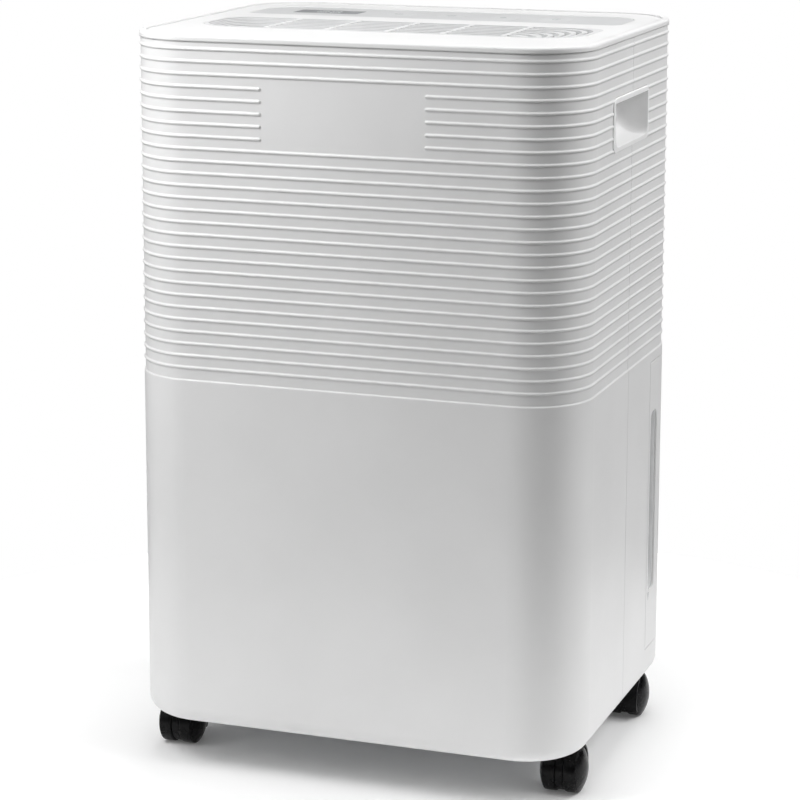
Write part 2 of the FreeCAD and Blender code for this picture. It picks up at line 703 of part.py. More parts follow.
def tank_bucket():
    """Open water bucket with the pins of its bail and the lugs of its float."""
    bucket = bucket_slab(0, TANK_LOW_Z + 2, BUCKET_TOP_Z)
    bucket = soften(bucket, at_level(TANK_LOW_Z + 1, TANK_LOW_Z + 3), 5.0)
    bucket = bucket.cut(bucket_slab(TANK_WALL, TANK_LOW_Z + 2 + TANK_WALL, BUCKET_TOP_Z + 1))
    pins = []
    for sign in (-1, 1):
        start = Vector(sign * (BUCKET_HALF_X - 1), BAIL_PIVOT_Y, BAIL_PIVOT_Z)
        pins.append(rod(3.0, start, Vector(sign, 0, 0), 7.0))
    lugs = []
    for offset in (-9, 9):
        x = FLOAT_PIVOT.x + offset
        lug = box(x - 1.5, x + 1.5, BUCKET_FRONT_Y + 1, FLOAT_PIVOT.y + 5,
                  FLOAT_PIVOT.z - 5, FLOAT_PIVOT.z + 5)
        lugs.append(lug)
    pin = rod(2.0, FLOAT_PIVOT - Vector(10.5, 0, 0), X_AXIS, 21)
    return fuse_all([bucket, pin] + pins + lugs)


def funnel_slab(margin, z0, z1):
    """Prism of the lid's square funnel hole, grown by a margin."""
    reach = FUNNEL_HALF + margin
    return slab(-reach, reach, DRIP_Y - reach, DRIP_Y + reach, z0, z1, 3.0 + margin)


def tank_lid():
    """Lid that drops over the bucket, with a funnel hole and a pouring corner."""
    top = bucket_slab(-0.4, BUCKET_TOP_Z + 0.1, BUCKET_TOP_Z + 2.5)
    spigot = bucket_slab(TANK_WALL + 0.3, BUCKET_TOP_Z - 6, BUCKET_TOP_Z + 0.1)
    spigot = spigot.cut(bucket_slab(TANK_WALL + 2.0, BUCKET_TOP_Z - 7, BUCKET_TOP_Z + 1))
    funnel = funnel_slab(0, BUCKET_TOP_Z - 10, BUCKET_TOP_Z + 10)
    pour = slab(118, 160, 82, 112, BUCKET_TOP_Z - 10, BUCKET_TOP_Z + 10, 8.0)
    rim = funnel_slab(2.0, BUCKET_TOP_Z + 0.1, BUCKET_TOP_Z + 6.1).cut(funnel)
    return fuse_all([top.cut([funnel, pour]), spigot, rim])


def tank_handle():
    """Bail handle that lies on the lid and swings up to carry the tank."""
    arm_x = BUCKET_HALF_X + 3.5
    rise = math.radians(BAIL_RISE)
    reach_y = BAIL_PIVOT_Y - BAIL_LENGTH * math.cos(rise)
    reach_z = BAIL_PIVOT_Z + BAIL_LENGTH * math.sin(rise)
    pieces = []
    for sign in (-1, 1):
        boss = rod(6.5, Vector(sign * (arm_x - 2), BAIL_PIVOT_Y, BAIL_PIVOT_Z), Vector(sign, 0, 0), 4)
        arm = box(0, 4, -BAIL_LENGTH, 0, -4, 4)
        arm.rotate(ORIGIN, X_AXIS, -BAIL_RISE)
        arm.translate(Vector(sign * arm_x - 2, BAIL_PIVOT_Y, BAIL_PIVOT_Z))
        hole = rod(3.0 + RUNNING, Vector(sign * (arm_x - 5), BAIL_PIVOT_Y, BAIL_PIVOT_Z),
                   Vector(sign, 0, 0), 10)
        pieces.append(boss.fuse(arm).cut(hole))
    grip = rod(4.2, Vector(-arm_x - 2, reach_y, reach_z), X_AXIS, 2 * arm_x + 4)
    return fuse_all(pieces + [grip])


def float_arm():
    """Float on its arm, hanging down as in an empty tank."""
    droop = 30
    arm = box(-5, 5, 0, 34, -2, 2)
    hub = rod(4.5, Vector(-6, 0, 0), X_AXIS, 12)
    body = box(-14, 14, 26, 56, -9, 9)
    body = soften(body, lambda edge: True, 3.0)
    piece = fuse_all([arm, hub, body]).cut(rod(2.0 + RUNNING, Vector(-8, 0, 0), X_AXIS, 16))
    piece.rotate(ORIGIN, X_AXIS, -droop)
    piece.translate(FLOAT_PIVOT)
    return piece


def float_switch():
    """Reed switch on the bay wall that senses the float's magnet."""
    y = BAY_WALL_Y + SHEET
    case = box(FLOAT_PIVOT.x - 12, FLOAT_PIVOT.x + 12, y, y + 3.6, 222, 250)
    return soften(case, along(1), 2.0)


# ---------------------------------------------------------------- chassis

def base_pan():
    """Floor of the machine, on the housing's lip, with towers for the casters."""
    inset = SKIRT_RADIUS + 0.3
    low = SKIRT_Z + WALL
    tray = housing_slab(inset, low, low + 12).cut(housing_slab(inset + 2.5, low + 3, low + 13))
    towers = []
    bores = []
    for _, pivot, _ in caster_places():
        towers.append(rod(10.6, pivot + Vector(0, 0, low + 0.9), Z_AXIS, 23.9))
        bores.append(rod(8.0, pivot + Vector(0, 0, low - 1), Z_AXIS, 40))
    mounts = []
    for place in compressor_feet():
        mounts.append(rod(9.0, place + Vector(0, 0, low + 2), Z_AXIS, 8))
    return fuse_all([tray] + towers + mounts).cut(bores)


def compressor_feet():
    """Places of the compressor's three feet."""
    places = []
    for index in range(3):
        angle = math.radians(90 + 120 * index)
        places.append(Vector(COMPRESSOR_X + 68 * math.cos(angle), COMPRESSOR_Y + 68 * math.sin(angle), 0))
    return places


def chassis():
    """Tank bay wall, bay floor and the shelf that carries the coils and the fan."""
    half_x = HALF_W - WALL - 1
    wall = box(-half_x, half_x, BAY_WALL_Y, BAY_WALL_Y + SHEET, SKIRT_Z + WALL + 12.2, SHELF_Z)
    floor_low = TANK_LOW_Z - 1.5
    floor = slab(-half_x, half_x, BAY_WALL_Y, HALF_D - 10, floor_low, floor_low + 2, 1.0, 44.0)
    shelf = housing_slab(WALL + 1, SHELF_Z, SHELF_Z + SHEET)
    drip = rod(8.0, Vector(0, DRIP_Y, SHELF_Z - 5), Z_AXIS, 20)
    riser = box(-160, -150, -120, -110, 45.2, SHELF_Z)
    risers = [riser, riser.translated(Vector(310, 0, 0))]
    pipes = [rod(8.0, Vector(x, COMPRESSOR_Y, SHELF_Z - 5), Z_AXIS, 20) for x in (SUCTION_X, DISCHARGE_X)]
    well = rod(DRAIN_WELL + 2.5, Vector(DRAIN_X, DRAIN_FLOOR_Y - 3, DRAIN_Z), Y_AXIS, 20)
    return fuse_all([wall, floor, shelf.cut([drip, well] + pipes)] + risers)


def drip_tray():
    """Tray under the coils that leads the water down into the tank."""
    z = SHELF_Z + SHEET
    tray = slab(-148, 148, 80, TRAY_BACK_Y, z, z + 22, 6.0)
    hollow = slab(-146, 146, 82, TRAY_BACK_Y - TRAY_WALL, z + 2, z + 23, 4.0)
    spout = rod(7.8, Vector(0, DRIP_Y, SHELF_Z - 12), Z_AXIS, 14.5)
    bore = rod(5.5, Vector(0, DRIP_Y, SHELF_Z - 13), Z_AXIS, 30)
    outlet = rod(DRAIN_ROOT_RADIUS, Vector(DRAIN_X, TRAY_BACK_Y - 10, DRAIN_Z), Y_AXIS, 20)
    return fuse_all([tray.cut(hollow), spout]).cut([bore, outlet])


# ---------------------------------------------------------------- machinery

def compressor():
    """Hermetic rotary compressor with its accumulator and foot plate."""
    low = COMPRESSOR_Z
    r = COMPRESSOR_RADIUS
    can = rod(r, Vector(COMPRESSOR_X, COMPRESSOR_Y, low), Z_AXIS, COMPRESSOR_HEIGHT)
    can = soften(can, lambda edge: edge.Curve.TypeId == "Part::GeomCircle", 16.0)
    plates = []
    for place in compressor_feet():
        plates.append(rod(11, place + Vector(0, 0, low), Z_AXIS, 3).cut(
            rod(5.0, place + Vector(0, 0, low - 1), Z_AXIS, 5)))
        inner = Vector(COMPRESSOR_X, COMPRESSOR_Y, low + 14) - place
        web = box(0, inner.Length - 20, -9, 9, 0, 3)
        web.translate(Vector(6, 0, 0))
        web.rotate(ORIGIN, Z_AXIS, math.degrees(math.atan2(inner.y, inner.x)))
        web.translate(place + Vector(0, 0, low))
        plates.append(web)
    foot = rod(r - 14, Vector(COMPRESSOR_X, COMPRESSOR_Y, low), Z_AXIS, 20)
    tank_x = COMPRESSOR_X + r + 24
    accumulator = rod(22, Vector(tank_x, COMPRESSOR_Y, low + 46), Z_AXIS, 100)
    accumulator = soften(accumulator, lambda edge: edge.Curve.TypeId == "Part::GeomCircle", 9.0)
    bracket = box(COMPRESSOR_X + r - 4, tank_x, COMPRESSOR_Y - 5, COMPRESSOR_Y + 5, low + 80, low + 100)
    terminal = rod(15, Vector(COMPRESSOR_X, COMPRESSOR_Y, low + COMPRESSOR_HEIGHT - 2), Z_AXIS, 16)
    void = rod(r - 9, Vector(COMPRESSOR_X, COMPRESSOR_Y, low + 14), Z_AXIS, COMPRESSOR_HEIGHT - 28)
    holes = [rod(5.0, place + Vector(0, 0, low - 1), Z_AXIS, 5) for place in compressor_feet()]
    return fuse_all([can, foot, accumulator, bracket, terminal] + plates).cut([void] + holes)


def compressor_grommets():
    """Rubber grommets under the compressor's feet."""
    low = SKIRT_Z + WALL + 10
    solids = []
    for place in compressor_feet():
        grommet = rod(9.0, place + Vector(0, 0, low), Z_AXIS, COMPRESSOR_Z - low)
        neck = rod(4.9, place + Vector(0, 0, COMPRESSOR_Z), Z_AXIS, 3)
        cap = rod(8.0, place + Vector(0, 0, COMPRESSOR_Z + 3), Z_AXIS, 2)
        bore = rod(3.0, place + Vector(0, 0, low - 1), Z_AXIS, 30)
        solids.append(fuse_all([grommet, neck, cap]).cut(bore))
    return Part.makeCompound(solids)


def compressor_bolts():
    """Flanged bolts through the grommets."""
    low = SKIRT_Z + WALL + 10
    solids = []
    for place in compressor_feet():
        shank = rod(2.9, place + Vector(0, 0, low), Z_AXIS, COMPRESSOR_Z + 5 - low)
        flange = rod(7.0, place + Vector(0, 0, COMPRESSOR_Z + 5), Z_AXIS, 1.6)
        head = hexagon(5.0, place + Vector(0, 0, COMPRESSOR_Z + 6.6), 4.4)
        solids.append(fuse_all([shank, flange, head]))
    return Part.makeCompound(solids)


def hexagon(half_flats, base, height):
    """Upright hexagonal prism."""
    radius = half_flats / math.cos(math.radians(30))
    points = []
    for index in range(6):
        angle = math.radians(60 * index)
        points.append(base + Vector(radius * math.cos(angle), radius * math.sin(angle), 0))
    return polygon_face(points).extrude(Vector(0, 0, height))


def coil(middle):
    """Finned coil: a core with upright fins front and back, and return bends at both ends."""
    fins = []
    core = 2.0
    pitch = 5.0
    tube_rows = 5
    y0 = middle - COIL_DEPTH / 2
    y1 = middle + COIL_DEPTH / 2
    edge = COIL_HALF_X - 8
    count = int(2 * edge / pitch)
    points = [Vector(-edge, middle - core, 0)]
    thick = pitch * 0.24
    for index in range(count):
        x = -edge + index * pitch + pitch * 0.3
        points += [Vector(x, middle - core, 0), Vector(x, y0, 0),
                   Vector(x + thick, y0, 0), Vector(x + thick, middle - core, 0)]
    points.append(Vector(edge, middle - core, 0))
    points.append(Vector(edge, middle + core, 0))
    for index in reversed(range(count)):
        x = -edge + index * pitch + pitch * 0.3
        points += [Vector(x + thick, middle + core, 0), Vector(x + thick, y1, 0),
                   Vector(x, y1, 0), Vector(x, middle + core, 0)]
    points.append(Vector(-edge, middle + core, 0))
    block = polygon_face(points).extrude(Vector(0, 0, COIL_HIGH_Z - COIL_LOW_Z))
    block.translate(Vector(0, 0, COIL_LOW_Z))
    fins.append(block)
    for sign in (-1, 1):
        x = sign * edge
        plate = box(min(x, x + sign * 2), max(x, x + sign * 2), y0 - 1, y1 + 1, COIL_LOW_Z, COIL_HIGH_Z)
        fins.append(plate)
        for row in range(tube_rows):
            low = COIL_LOW_Z + 14 + row * (COIL_HIGH_Z - COIL_LOW_Z - 28) / tube_rows
            fins.append(return_bend(Vector(x + sign * 2, middle, low), sign))
    return fuse_all(fins)


def return_bend(start, sign):
    """Half ring of coil tube standing out of an end plate."""
    ring = Part.makeTorus(9.0, 3.6, Vector(0, 0, 0), Y_AXIS)
    half = box(0, 20, -10, 10, -20, 20) if sign > 0 else box(-20, 0, -10, 10, -20, 20)
    bend = ring.common(half)
    bend.translate(start + Vector(0, 0, 9.0))
    return bend


def refrigerant_pipes():
    """Suction, discharge and capillary lines between the compressor and the coils."""
    top = COMPRESSOR_Z + COMPRESSOR_HEIGHT
    coil_end = COIL_HALF_X - 6
    accumulator_x = COMPRESSOR_X + COMPRESSOR_RADIUS + 24
    suction = bent_tube([
        Vector(accumulator_x, COMPRESSOR_Y, 212),
        Vector(accumulator_x, COMPRESSOR_Y, 290),
        Vector(SUCTION_X, COMPRESSOR_Y, 290),
        Vector(SUCTION_X, COMPRESSOR_Y, 396),
        Vector(SUCTION_X, EVAPORATOR_Y, 396),
        Vector(coil_end, EVAPORATOR_Y, 396),
    ], 5.0, 14.0)
    discharge = bent_tube([
        Vector(COMPRESSOR_X - 26, COMPRESSOR_Y, top),
        Vector(COMPRESSOR_X - 26, COMPRESSOR_Y, 300),
        Vector(DISCHARGE_X, COMPRESSOR_Y, 300),
        Vector(DISCHARGE_X, COMPRESSOR_Y, 435),
        Vector(DISCHARGE_X, CONDENSER_Y, 435),
        Vector(-coil_end, CONDENSER_Y, 435),
    ], 4.0, 12.0)
    capillary = bent_tube([
        Vector(-coil_end, CONDENSER_Y, 396),
        Vector(-152, CONDENSER_Y, 396),
        Vector(-152, 66, 396),
        Vector(-152, 66, 345),
        Vector(163, 66, 345),
        Vector(163, 66, 435),
        Vector(163, EVAPORATOR_Y, 435),
        Vector(coil_end, EVAPORATOR_Y, 435),
    ], 2.0, 8.0)
    return Part.makeCompound([suction, discharge, capillary])


def fan_scroll():
    """Fan housing, open towards the coils, with its outlet up to the top grille."""
    y0, y1 = -78.0, 14.0
    c = FAN_CENTRE
    outer = rod(96, Vector(c.x, y0, c.z), Y_AXIS, y1 - y0)
    duct = box(-100, 60, y0, y1, c.z, 611.5)
    body = outer.fuse(duct)
    inner = rod(93.5, Vector(c.x, y0 + 2.5, c.z), Y_AXIS, y1 - y0 - 5)
    throat = box(-97.5, 57.5, y0 + 2.5, y1 - 2.5, c.z, 620)
    inlet = rod(62, Vector(c.x, y1 - 10, c.z), Y_AXIS, 20)
    shaft = rod(14, Vector(c.x, y0 - 10, c.z), Y_AXIS, 20)
    return body.cut([inner, throat, inlet, shaft]).removeSplitter()


def fan_wheel():
    """Squirrel-cage blower wheel with forward-curved blades."""
    c = FAN_CENTRE
    y0, y1 = -70.0, 2.0
    hub = pipe(12, 4.0, Vector(c.x, y0, c.z), Y_AXIS, 22)
    back = pipe(FAN_RADIUS, 11, Vector(c.x, y0, c.z), Y_AXIS, 2.5)
    ring = pipe(FAN_RADIUS, FAN_RADIUS - 6, Vector(c.x, y1 - 3, c.z), Y_AXIS, 3)
    blades = []
    count = 30
    for index in range(count):
        blade = box(FAN_RADIUS - 14, FAN_RADIUS - 1, y0 + 1, y1 - 1, -0.9, 0.9)
        blade.rotate(Vector(FAN_RADIUS - 7, 0, 0), Y_AXIS, 28)
        blade.rotate(ORIGIN, Y_AXIS, 360 * index / count)
        blade.translate(Vector(c.x, 0, c.z))
        blades.append(blade)
    return fuse_all([hub, back, ring] + blades)


def fan_shaft():
    """Motor shaft that carries the blower wheel."""
    c = FAN_CENTRE
    return rod(4.0, Vector(c.x, -122, c.z), Y_AXIS, 76)


def fan_motor():
    """Fan motor on the front wall of the scroll."""
    c = FAN_CENTRE
    can = rod(40, Vector(c.x, -126, c.z), Y_AXIS, 42)
    can = soften(can, lambda edge: edge.Curve.TypeId == "Part::GeomCircle", 5.0)
    feet = []
    for index in range(3):
        foot = box(30, 60, -93, -78, -7, 7)
        foot.rotate(ORIGIN, Y_AXIS, 90 + 120 * index)
        foot.translate(Vector(c.x, 0, c.z))
        feet.append(foot)
    bore = rod(4.0 + RUNNING, Vector(c.x, -123, c.z), Y_AXIS, 60)
    return fuse_all([can] + feet).cut(bore)


def power_board():
    """Power electronics in a covered box on the base."""
    case = slab(62, 148, -128, -88, 96, 246, 4.0)
    case = soften(case, at_level(245.9, 246.1), 2.0)
    stand = box(80, 130, -118, -98, 45.2, 96)
    return fuse_all([case, stand])


def run_capacitor():
    """Compressor's run capacitor, strapped beside the power box."""
    can = rod(17, Vector(106, -40, 45.2), Z_AXIS, 70)
    top_rim = lambda edge: edge.Curve.TypeId == "Part::GeomCircle" and edge.BoundBox.ZMin > 100
    can = soften(can, top_rim, 3.0)
    tabs = [box(x - 0.5, x + 0.5, -43, -37, 115, 124) for x in (98, 114)]
    return fuse_all([can] + tabs)


def humidity_sensor():
    """Humidity and temperature sensor, clipped beside the intake."""
    board = box(148.6, 150.2, 122, 146, 470, 500)
    head = box(150.2, 158, 126, 140, 474, 492)
    return fuse_all([board, soften(head, along(0), 1.5)])


# ---------------------------------------------------------------- small fittings

def drain_spigot():
    """Hose spigot for continuous drainage, in a round well in the rear wall."""
    base_y = TRAY_BACK_Y - TRAY_WALL - 2
    tube = rod(DRAIN_RADIUS, Vector(DRAIN_X, base_y, DRAIN_Z), Y_AXIS, HALF_D - 1 - base_y)
    root = rod(DRAIN_ROOT_RADIUS, Vector(DRAIN_X, base_y, DRAIN_Z), Y_AXIS, DRAIN_ROOT_END_Y - base_y)
    flange = rod(DRAIN_ROOT_RADIUS + 2, Vector(DRAIN_X, base_y, DRAIN_Z), Y_AXIS, 2)
    bore = rod(4.0, Vector(DRAIN_X, base_y - 1, DRAIN_Z), Y_AXIS, 40)
    return fuse_all([tube, root, flange]).cut(bore)


def drain_plug():
    """Rubber stopper in the drain spigot, with a thin pull rim."""
    face_y = HALF_D - 1
    plug = rod(4.0 - RUNNING, Vector(DRAIN_X, face_y - 10, DRAIN_Z), Y_AXIS, 10.1)
    head = rod(5.8, Vector(DRAIN_X, face_y + 0.05, DRAIN_Z), Y_AXIS, 0.9)
    return fuse_all([plug, head])


def cord_gland():
    """Gland for the mains lead, low in the rear wall."""
    y = HALF_D - WALL
    body = rod(GLAND_RADIUS, Vector(GLAND_X, y, GLAND_Z), Y_AXIS, WALL)
    flange = rod(GLAND_RADIUS + 2, Vector(GLAND_X, y - 2, GLAND_Z), Y_AXIS, 2)
    tail = rod(GLAND_RADIUS - 1, Vector(GLAND_X, y - 10, GLAND_Z), Y_AXIS, 8)
    bore = rod(3.6, Vector(GLAND_X, y - 20, GLAND_Z), Y_AXIS, 40)
    return fuse_all([body, flange, tail]).cut(bore)


def housing_screws():
    """Screws that hold the two shells together along the side posts."""
    solids = []
    for sign in (-1, 1):
        for height in (130.0, 260.0, 400.0, 480.0):
            x = sign * (HALF_W - WALL - 5)
            shank = rod(1.6, Vector(x, -20, height), Y_AXIS, 40)
            head = rod(3.6, Vector(x, 20, height), Y_AXIS, 2.4)
            recess = rod(1.3, Vector(x, 21, height), Y_AXIS, 3)
            solids.append(fuse_all([shank, head]).cut(recess))
    return Part.makeCompound(solids)


# ---------------------------------------------------------------- casters

def caster_sockets():
    """Bushes in the base that the caster stems turn in."""
    solids = []
    for _, pivot, _ in caster_places():
        bush = rod(8.0, pivot + Vector(0, 0, SKIRT_Z + 2), Z_AXIS, 25)
        bore = rod(STEM_RADIUS + RUNNING, pivot + Vector(0, 0, SKIRT_Z), Z_AXIS, 32)
        solids.append(bush.cut(bore))
    return Part.makeCompound(solids)


def caster_fork(pivot, trail_sign):
    """Caster body: stem, collar, web between the wheels and a guard in front of them."""
    axle = Vector(0, CASTER_TRAIL, WHEEL_RADIUS)
    half_web = WHEEL_INNER - 0.5
    web = rod(WHEEL_RADIUS - 1.4, axle - Vector(half_web, 0, 0), X_AXIS, 2 * half_web)
    neck = box(-half_web, half_web, -9.0, 9.0, WHEEL_RADIUS - 2, SKIRT_Z - 0.6)
    collar = rod(8.0, Vector(0, 0, SKIRT_Z - 0.6), Z_AXIS, 2.5)
    stem = rod(STEM_RADIUS, Vector(0, 0, SKIRT_Z - 2), Z_AXIS, 28)
    guard_inner = WHEEL_RADIUS + 0.8
    guard_outer = WHEEL_RADIUS + 2.6
    half_guard = WHEEL_TREAD
    start = axle - Vector(half_guard, 0, 0)
    guard = pipe(guard_outer, guard_inner, start, X_AXIS, 2 * half_guard)
    keep = box(-20, 20, -30, 1, 8, SKIRT_Z - 0.6)
    spoke = box(-half_web, half_web, -9.4, 0, 10, SKIRT_Z - 2)
    fork = fuse_all([web, neck, collar, stem, guard.common(keep), spoke])
    fork = fork.cut(rod(AXLE_RADIUS, axle - Vector(20, 0, 0), X_AXIS, 40))
    return place_caster(fork, pivot, trail_sign)


def caster_axle(pivot, trail_sign):
    """Steel axle through the web of a caster."""
    half = WHEEL_TREAD - 0.5
    axle = rod(AXLE_RADIUS, Vector(-half, CASTER_TRAIL, WHEEL_RADIUS), X_AXIS, 2 * half)
    return place_caster(axle, pivot, trail_sign)


def caster_wheel(pivot, trail_sign, side):
    """Domed wheel with a rounded tread and a blind bore; side is -1 or 1."""
    def at(out, radius):
        return Vector(out, 0, radius)

    r = WHEEL_RADIUS
    tread_edge = WHEEL_TREAD - 0.4
    crown = WHEEL_TREAD + WHEEL_DOME
    dome_radius = r - 1.2
    bore = AXLE_RADIUS + RUNNING
    ball = (dome_radius ** 2 + WHEEL_DOME ** 2) / (2 * WHEEL_DOME)
    mid_radius = dome_radius / 2
    mid_out = crown - ball + math.sqrt(ball ** 2 - mid_radius ** 2)
    edges = [
        Part.makeLine(at(WHEEL_INNER, bore), at(WHEEL_INNER, r - 1.6)),
        Part.Arc(at(WHEEL_INNER, r - 1.6), at(WHEEL_INNER + 0.5, r - 0.5),
                 at(WHEEL_INNER + 1.6, r)).toShape(),
        Part.makeLine(at(WHEEL_INNER + 1.6, r), at(tread_edge - 1.0, r)),
        Part.Arc(at(tread_edge - 1.0, r), at(tread_edge - 0.3, r - 0.3), at(tread_edge, r - 1.0)).toShape(),
        Part.makeLine(at(tread_edge, r - 1.0), at(tread_edge, dome_radius - 0.8)),
        Part.makeLine(at(tread_edge, dome_radius - 0.8), at(WHEEL_TREAD, dome_radius - 0.8)),
        Part.makeLine(at(WHEEL_TREAD, dome_radius - 0.8), at(WHEEL_TREAD, dome_radius)),
        Part.Arc(at(WHEEL_TREAD, dome_radius), at(mid_out, mid_radius), at(crown, 0)).toShape(),
        Part.makeLine(at(crown, 0), at(WHEEL_TREAD, 0)),
        Part.makeLine(at(WHEEL_TREAD, 0), at(WHEEL_TREAD, bore)),
        Part.makeLine(at(WHEEL_TREAD, bore), at(WHEEL_INNER, bore)),
    ]
    wheel = Part.Face(Part.Wire(edges)).revolve(ORIGIN, X_AXIS, 360)
    if side < 0:
        wheel = mirror_x(wheel)
    wheel.translate(Vector(0, CASTER_TRAIL, WHEEL_RADIUS))
    return place_caster(wheel, pivot, trail_sign)


def place_caster(shape, pivot, trail_sign):
    """Put a caster piece, drawn with its trail towards +Y, at its pivot."""
    placed = shape.copy()
    if trail_sign < 0:
        placed.rotate(ORIGIN, Z_AXIS, 180)
    placed.translate(pivot)
    return placed


# ---------------------------------------------------------------- all pieces

def all_pieces():
    """Every piece of the machine by name."""
    right_handle = handle_right()
    pieces = {
        "front_shell": front_shell(),
        "rear_shell": rear_shell(),
        "kick_panel": kick_panel(),
        "top_cover": top_cover(),
        "outlet_grille": outlet_grille(),
        "control_fascia": control_fascia(),
        "display_window": display_window(),
        "control_board": control_board(),
        "handle_right": right_handle,
        "handle_left": mirror_x(right_handle),
        "intake_grille": intake_grille(),
        "air_filter": air_filter(),
        "tank_cover": tank_cover(),
        "level_windows": level_windows(),
        "tank_bucket": tank_bucket(),
        "tank_lid": tank_lid(),
        "tank_handle": tank_handle(),
        "float_arm": float_arm(),
        "float_switch": float_switch(),
        "base_pan": base_pan(),
        "chassis": chassis(),
        "drip_tray": drip_tray(),
        "compressor": compressor(),
        "compressor_grommets": compressor_grommets(),
        "compressor_bolts": compressor_bolts(),
        "evaporator": coil(EVAPORATOR_Y),
        "condenser": coil(CONDENSER_Y),
        "refrigerant_pipes": refrigerant_pipes(),
        "fan_scroll": fan_scroll(),
        "fan_wheel": fan_wheel(),
        "fan_shaft": fan_shaft(),
        "fan_motor": fan_motor(),
        "power_board": power_board(),
        "run_capacitor": run_capacitor(),
        "humidity_sensor": humidity_sensor(),
        "drain_spigot": drain_spigot(),
        "drain_plug": drain_plug(),
        "cord_gland": cord_gland(),
        "housing_screws": housing_screws(),
        "caster_sockets": caster_sockets(),
    }
    for name, x in KEY_XS.items():
        pieces[name] = key(x)
    for place, pivot, trail_sign in caster_places():
        pieces["caster_fork_" + place] = caster_fork(pivot, trail_sign)
        pieces["caster_axle_" + place] = caster_axle(pivot, trail_sign)
        pieces["caster_wheel_a_" + place] = caster_wheel(pivot, trail_sign, -1)
        pieces["caster_wheel_b_" + place] = caster_wheel(pivot, trail_sign, 1)
    return pieces


def main():
    """Write one STEP file for each piece."""
    os.makedirs("parts", exist_ok=True)
    for name, shape in all_pieces().items():
        shape.exportStep("parts/" + name + ".step")
        bounds = shape.BoundBox
        print("%-28s solids %d valid %s  X %.1f %.1f  Y %.1f %.1f  Z %.1f %.1f" % (
            name, len(shape.Solids), shape.isValid(), bounds.XMin, bounds.XMax,
            bounds.YMin, bounds.YMax, bounds.ZMin, bounds.ZMax))


main()
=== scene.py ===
"""Looks of the portable dehumidifier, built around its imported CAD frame.

Everything is in metres, in the CAD frame: the origin is on the floor under the
middle of the housing, +X is the user's right, +Y the rear and +Z up.
"""

import json
import math

import bmesh
import bpy
from mathutils import Matrix, Vector


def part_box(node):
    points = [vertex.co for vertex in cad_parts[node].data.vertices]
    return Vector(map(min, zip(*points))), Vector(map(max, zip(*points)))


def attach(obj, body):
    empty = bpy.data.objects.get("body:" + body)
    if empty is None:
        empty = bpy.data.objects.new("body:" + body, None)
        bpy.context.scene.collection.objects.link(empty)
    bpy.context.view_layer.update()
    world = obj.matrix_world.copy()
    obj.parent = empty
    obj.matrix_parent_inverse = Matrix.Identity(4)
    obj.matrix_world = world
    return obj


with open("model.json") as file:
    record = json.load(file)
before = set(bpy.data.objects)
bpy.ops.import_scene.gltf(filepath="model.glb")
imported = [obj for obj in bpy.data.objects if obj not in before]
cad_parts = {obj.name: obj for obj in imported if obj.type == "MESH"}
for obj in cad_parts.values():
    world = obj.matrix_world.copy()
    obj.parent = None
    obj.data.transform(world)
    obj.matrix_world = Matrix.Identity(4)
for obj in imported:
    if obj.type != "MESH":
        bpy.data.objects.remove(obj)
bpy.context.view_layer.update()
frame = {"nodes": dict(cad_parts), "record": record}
NODES = frame["nodes"]
MM = 0.001
PRINT_HEIGHT = 0.12 * MM
PRINT_SINK = 0.02 * MM
LOUVRE_BAR_XS = (-101.0, -48.0, 4.0, 52.0, 103.0)
SIGN_INNER = 3.0 * MM
SIGN_OUTER = 3.7 * MM
STROKE_HALF = 0.6 * MM
CAMERA_PLACE = (0.7569, -2.1482, 0.8286)
CAMERA_AZIMUTH = math.radians(19.61)
CAMERA_ELEVATION = math.radians(11.54)
CAMERA_ROLL = math.radians(0.12)
CAMERA_LENS = 122.96
KEY_WATTS = 5.3
CORNER_WATTS = 5.2
FRONT_WATTS = 4.2
HIGH_SIDE_WATTS = 12.4
NEAR_SIDE_WATTS = 5.8
TOP_WATTS = 3.05
BACK_WATTS = 11.2
FLOOR_RADIUS = 0.6
FLOOR_GLOW = 0.05
RIM_GLOW = 0.42


# ---------------------------------------------------------------- materials

